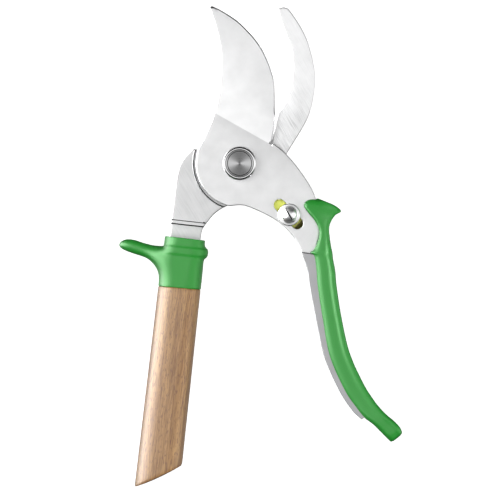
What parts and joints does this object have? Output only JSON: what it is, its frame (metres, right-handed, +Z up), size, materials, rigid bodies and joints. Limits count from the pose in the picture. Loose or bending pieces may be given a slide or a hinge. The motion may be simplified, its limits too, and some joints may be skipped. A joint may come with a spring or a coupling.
{
  "type": "pruning shears",
  "caption": "Open one-hand bypass pruning shears: wooden handle with finger guard, covered steel lever, curved cutting blade, hooked counter blade and sliding lock.",
  "frame": {"origin": "on the pivot axis at the flat end of the pivot bolt, in the plane the shears lie on", "axes": "+Z up along the pivot axis towards the bolt head, +Y along the wooden handle towards the jaws, +X towards the lever"},
  "size_m": [0.1283, 0.2121, 0.02],
  "materials": {
    "blade_steel": "satin ground",
    "sheet_steel": "satin",
    "turned_steel": "turned with concentric marks",
    "polished_steel": "polished",
    "plain_steel": "plain",
    "green_plastic": "satin gloss, green",
    "yellow_plastic": "satin, yellow",
    "beech": "oiled, fine flecks along the grain"
  },
  "bodies": {
    "fixed_half": {"counter_blade": "blade_steel", "guard_collar": "green_plastic", "wood_handle": "beech", "tang_pin_1": "plain_steel", "tang_pin_2": "plain_steel", "pivot_bolt": "turned_steel", "pivot_washer": "plain_steel", "pivot_nut": "plain_steel", "return_spring": "plain_steel", "opening_stop_pin": "plain_steel"},
    "lever_half": {"cutting_blade": "blade_steel", "pivot_bush": "plain_steel", "lever_channel": "sheet_steel", "grip_cover": "green_plastic", "channel_rivet_1": "plain_steel", "channel_rivet_2": "plain_steel", "rivet_spacer_lower_1": "plain_steel", "rivet_spacer_lower_2": "plain_steel", "rivet_spacer_upper_1": "plain_steel", "rivet_spacer_upper_2": "plain_steel"},
    "lock": {"lock_button": "polished_steel", "lock_slider": "yellow_plastic", "lock_washer": "plain_steel", "lock_clip": "plain_steel"}
  },
  "joints": [
    {"name": "blade_pivot", "type": "hinge", "parent": "fixed_half", "child": "lever_half", "pos_m": [0, 0, 0.01], "axis": [0, 0, 1], "range_deg": [-27, 0], "stiffness_Nm_per_rad": 1.2, "springref_deg": 28.65},
    {"name": "lock_slide", "type": "slide", "parent": "lever_half", "child": "lock", "axis": [0.7705, -0.6374, 0], "range_m": [-0.005, 0.0046]}
  ]
}
